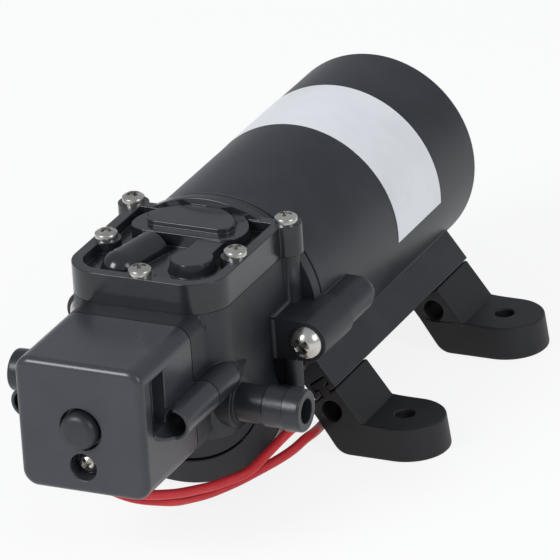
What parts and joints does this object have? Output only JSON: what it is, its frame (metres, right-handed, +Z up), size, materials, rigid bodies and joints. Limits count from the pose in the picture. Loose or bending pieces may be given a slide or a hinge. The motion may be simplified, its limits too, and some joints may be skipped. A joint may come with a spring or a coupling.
{
  "type": "caravan water pump",
  "caption": "Diaphragm water pump for a caravan: round motor with splayed rubber feet, pump head with a hose barb on each side, and a square pressure switch in front.",
  "frame": {"origin": "on the floor, under the middle of the pump's length and width", "axes": "+Y along the motor's axis from the pressure switch to the motor's rear end, +Z up from the feet, +X towards the right hose barb as seen from the switch"},
  "size_m": [0.1004, 0.1668, 0.0648],
  "materials": {
    "shell_plastic": "satin",
    "head_plastic": "satin",
    "cover_plastic": "semi gloss",
    "switch_plastic": "semi gloss",
    "black_plastic": "matte",
    "white_plastic": "matte",
    "button_red": "matte",
    "foot_rubber": "matte",
    "plug_rubber": "matte",
    "seal_rubber": "matte",
    "lead_red": "satin",
    "screw_steel": "polished",
    "steel": "ground",
    "core_iron": "matte",
    "ferrite": "matte",
    "carbon": "matte",
    "copper": "satin"
  },
  "bodies": {
    "pump": {"motor_housing": "shell_plastic", "front_plate": "steel", "front_bearing": "steel", "rear_bearing": "steel", "magnets": "ferrite", "brush_plate": "black_plastic", "brushes": "carbon", "brush_springs": "steel", "pump_housing": "head_plastic", "lower_cover": "head_plastic", "top_cover": "cover_plastic", "cover_screws": "screw_steel", "head_bolts": "screw_steel", "diaphragm": "seal_rubber", "valve_plate": "white_plastic", "inlet_valve": "seal_rubber", "outlet_valve": "seal_rubber", "switch_cover": "switch_plastic", "switch_plug": "plug_rubber", "switch_screws": "screw_steel", "switch_bracket": "steel", "switch_diaphragm": "seal_rubber", "switch_spring": "steel", "microswitch": "black_plastic", "foot_front_right": "foot_rubber", "foot_front_left": "foot_rubber", "foot_rear_right": "foot_rubber", "foot_rear_left": "foot_rubber", "lead_grommet": "seal_rubber", "motor_lead": "lead_red", "supply_lead": "lead_red"},
    "rotor": {"motor_shaft": "steel", "armature": "core_iron", "windings": "copper", "commutator": "copper", "eccentric": "steel"},
    "rod": {"connecting_rod": "white_plastic", "rod_bearing": "steel", "piston_cap": "white_plastic", "piston_screw": "steel"},
    "adjuster": {"adjusting_screw": "screw_steel"},
    "plunger": {"switch_plunger": "white_plastic"},
    "button": {"switch_button": "button_red"}
  },
  "joints": [
    {"name": "rotor_spin", "type": "hinge", "parent": "pump", "child": "rotor", "pos_m": [0, 0, 0.038], "axis": [0, 1, 0], "continuous": true},
    {"name": "rod_orbit", "type": "hinge", "parent": "rotor", "child": "rod", "pos_m": [0, -0.025, 0.0368], "axis": [0, 1, 0], "continuous": true, "deforming": ["diaphragm"]},
    {"name": "adjuster_turn", "type": "hinge", "parent": "pump", "child": "adjuster", "pos_m": [0, -0.0772, 0.028], "axis": [0, 1, 0], "range_deg": [-360, 360]},
    {"name": "plunger_slide", "type": "slide", "parent": "pump", "child": "plunger", "axis": [0, -1, 0], "range_m": [0, 0.0012], "stiffness_N_per_m": 400, "deforming": ["switch_spring", "switch_diaphragm"]},
    {"name": "button_slide", "type": "slide", "parent": "pump", "child": "button", "axis": [0, -1, 0], "range_m": [0, 0.0012]}
  ],
  "couplings": [
    {"joint": "rod_orbit", "follows": "rotor_spin", "ratio": -1},
    {"joint": "button_slide", "follows": "plunger_slide", "ratio": 1}
  ]
}
